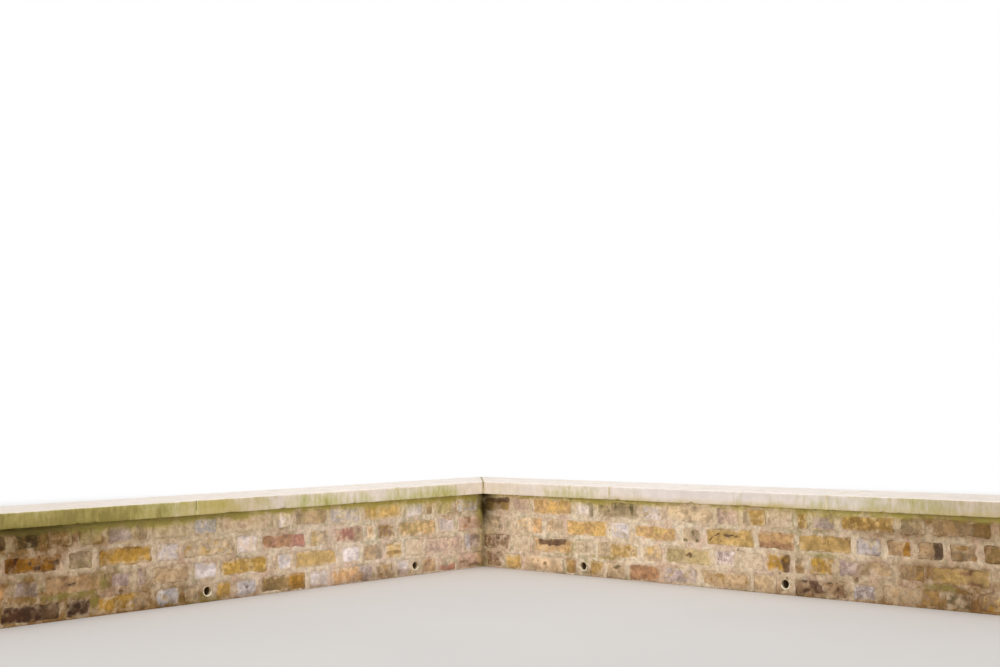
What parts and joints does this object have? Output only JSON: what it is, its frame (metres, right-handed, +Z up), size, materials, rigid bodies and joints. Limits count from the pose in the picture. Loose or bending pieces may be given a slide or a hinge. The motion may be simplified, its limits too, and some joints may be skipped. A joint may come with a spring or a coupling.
{
  "type": "low brick garden wall",
  "caption": "Low bonded brick garden wall turning an inside corner, with mortar beds, a mitred stone coping with drip grooves, and weep pipes through its bottom course.",
  "frame": {"origin": "on the ground where the centre lines of the two wings cross, at the middle of the corner", "axes": "+X along the right wing, -Y along the left wing, +Z up; the inside of the corner faces +X and -Y"},
  "size_m": [2.792, 2.6095, 0.35],
  "materials": {
    "brick": "matt, worn",
    "mortar": "matt, sandy",
    "coping_stone": "matt, weathered",
    "weep_pipe": "matt"
  },
  "bodies": {
    "root": {"right_course_1": "brick", "right_course_2": "brick", "right_course_3": "brick", "right_course_4": "brick", "left_course_1": "brick", "left_course_2": "brick", "left_course_3": "brick", "left_course_4": "brick", "right_bed_1": "mortar", "right_bed_2": "mortar", "right_bed_3": "mortar", "right_bed_4": "mortar", "left_bed_1": "mortar", "left_bed_2": "mortar", "left_bed_3": "mortar", "left_bed_4": "mortar", "right_corner_coping": "coping_stone", "left_corner_coping": "coping_stone", "right_coping_1": "coping_stone", "right_coping_2": "coping_stone", "left_coping_1": "coping_stone", "left_coping_2": "coping_stone", "right_coping_joints": "mortar", "left_coping_joints": "mortar", "mitre_joint": "mortar", "right_weep_surround_1": "mortar", "right_weep_surround_2": "mortar", "left_weep_surround_1": "mortar", "left_weep_surround_2": "mortar", "right_weep_pipe_1": "weep_pipe", "right_weep_pipe_2": "weep_pipe", "left_weep_pipe_1": "weep_pipe", "left_weep_pipe_2": "weep_pipe"}
  },
  "joints": []
}
